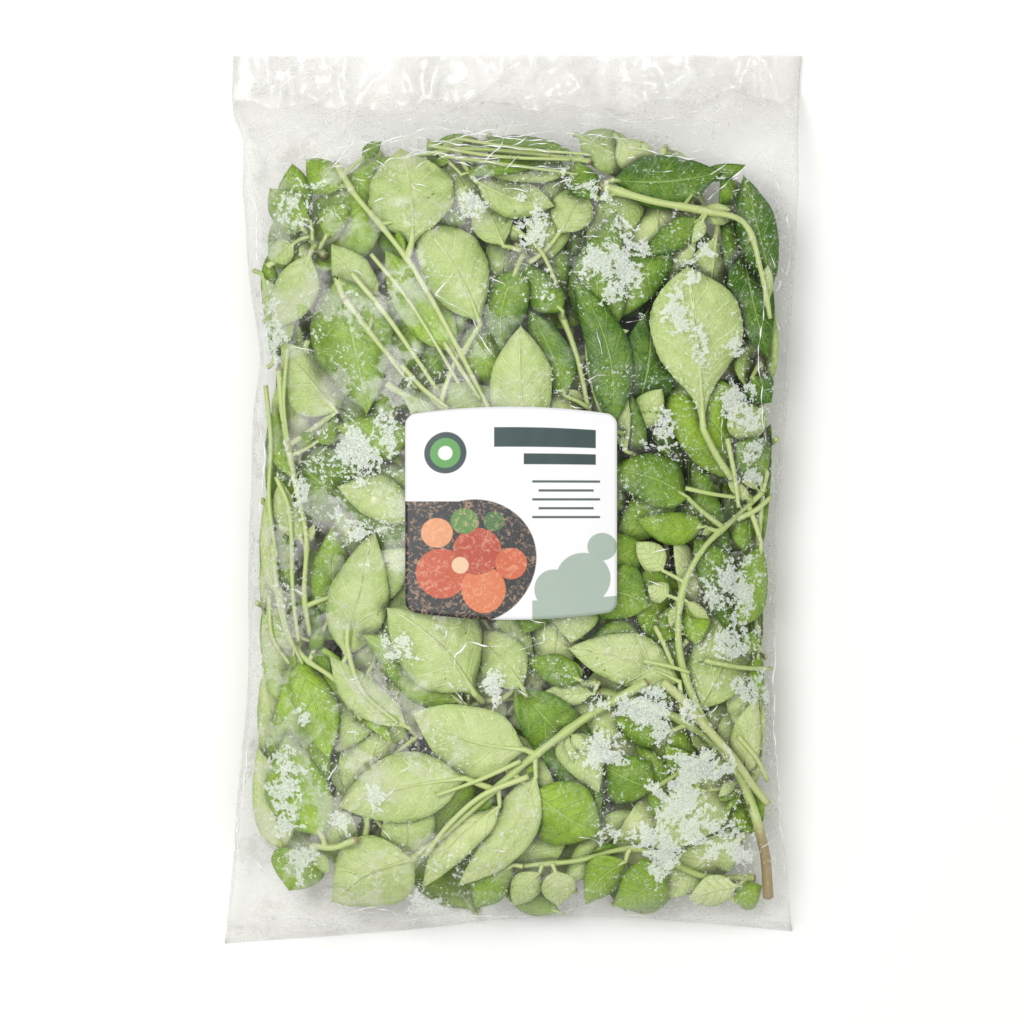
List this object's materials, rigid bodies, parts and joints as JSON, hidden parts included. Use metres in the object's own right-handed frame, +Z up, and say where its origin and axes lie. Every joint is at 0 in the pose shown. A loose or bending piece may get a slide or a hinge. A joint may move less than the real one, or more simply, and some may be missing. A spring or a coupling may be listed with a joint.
{
  "type": "bag of fresh basil",
  "caption": "Clear film bag lying flat, open at one end, packed with cut leafy basil stems, with a rounded label on its face.",
  "frame": {"origin": "bottom centre of the bag's bounding box, on the surface it lies on", "axes": "+X across the bag to the right as seen from above, +Y from the sealed foot to the open mouth, +Z up through the label"},
  "size_m": [0.308, 0.472, 0.0753],
  "materials": {
    "film": "clear thin film, glossy and crumpled, with patches of dew on its inside",
    "leaf": "fresh basil leaf and stem, satin",
    "label": "printed paper label, satin"
  },
  "bodies": {
    "root": {"bag_film": "film", "label": "label", "corner_shoot": "leaf", "upper_left_shoot": "leaf", "lower_left_shoot": "leaf", "right_shoot": "leaf", "upper_right_shoot": "leaf", "upper_middle_shoot": "leaf", "lower_middle_shoot": "leaf", "middle_left_shoot": "leaf", "left_lower_shoot": "leaf", "left_shoot": "leaf", "left_corner_shoot": "leaf", "top_shoot": "leaf", "lower_right_shoot": "leaf", "centre_shoot": "leaf", "foot_shoot": "leaf", "right_side_shoot": "leaf", "label_shoot": "leaf", "back_shoot_1": "leaf", "back_shoot_2": "leaf", "back_shoot_3": "leaf", "back_shoot_4": "leaf", "back_shoot_5": "leaf", "back_shoot_6": "leaf", "inner_shoot_1": "leaf", "inner_shoot_2": "leaf", "inner_shoot_3": "leaf", "inner_shoot_4": "leaf"}
  },
  "joints": []
}
